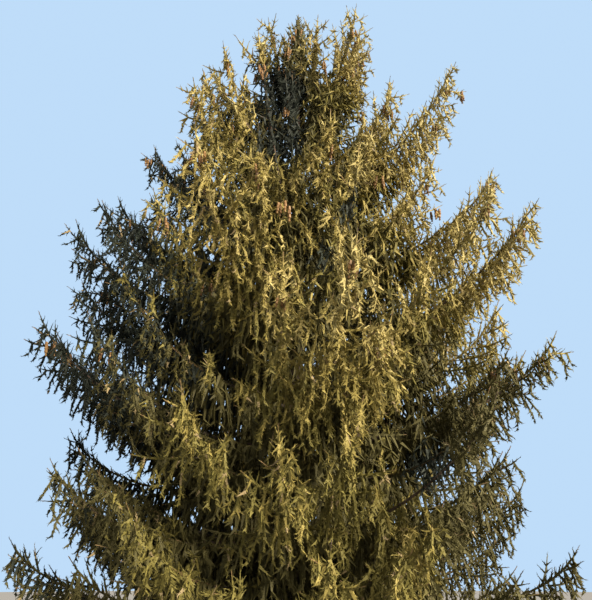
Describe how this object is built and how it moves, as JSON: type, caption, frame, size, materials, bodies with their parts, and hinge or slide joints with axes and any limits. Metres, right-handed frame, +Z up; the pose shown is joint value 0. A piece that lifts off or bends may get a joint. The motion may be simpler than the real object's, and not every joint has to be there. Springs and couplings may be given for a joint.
{
  "type": "norway spruce tree",
  "caption": "Whole open-grown conifer: one tapering trunk, tiers of upswept boughs, curtains of hanging needle sprays and cones in the upper crown; rooted in level ground.",
  "frame": {"origin": "middle of the trunk's flat cut at ground level", "axes": "+Z up along the trunk, -Y towards the side the picture was taken from, +X to its right"},
  "size_m": [5.6243, 5.8225, 9.7233],
  "materials": {
    "bark": "rough, flaking bark",
    "needles": "olive-green needles",
    "twig": "bare brown twigs",
    "cone": "dry tan scales"
  },
  "bodies": {
    "root": {"trunk": "bark", "bough_1_1": "bark", "bough_1_2": "bark", "bough_1_3": "bark", "bough_1_4": "bark", "bough_1_5": "bark", "foliage_1_1": "needles", "foliage_1_2": "needles", "foliage_1_3": "needles", "foliage_1_4": "needles", "foliage_1_5": "needles", "bough_2_1": "bark", "bough_2_2": "bark", "bough_2_3": "bark", "bough_2_4": "bark", "bough_2_5": "bark", "foliage_2_1": "needles", "foliage_2_2": "needles", "foliage_2_3": "needles", "foliage_2_4": "needles", "foliage_2_5": "needles", "bough_3_1": "bark", "bough_3_2": "bark", "bough_3_3": "bark", "bough_3_4": "bark", "bough_3_5": "bark", "foliage_3_1": "needles", "foliage_3_2": "needles", "foliage_3_3": "needles", "foliage_3_4": "needles", "foliage_3_5": "needles", "bough_4_1": "bark", "bough_4_2": "bark", "bough_4_3": "bark", "bough_4_4": "bark", "bough_4_5": "bark", "foliage_4_1": "needles", "foliage_4_2": "needles", "foliage_4_3": "needles", "foliage_4_4": "needles", "foliage_4_5": "needles", "foliage_5_1": "needles", "foliage_5_2": "needles", "foliage_5_3": "needles", "foliage_5_4": "needles", "foliage_5_5": "needles", "foliage_6_1": "needles", "foliage_6_2": "needles", "foliage_6_3": "needles", "foliage_6_4": "needles", "foliage_6_5": "needles", "foliage_7_1": "needles", "foliage_7_2": "needles", "foliage_7_3": "needles", "foliage_7_4": "needles", "foliage_8_1": "needles", "foliage_8_2": "needles", "foliage_8_3": "needles", "foliage_8_4": "needles", "leader_foliage": "needles"}
  },
  "joints": []
}
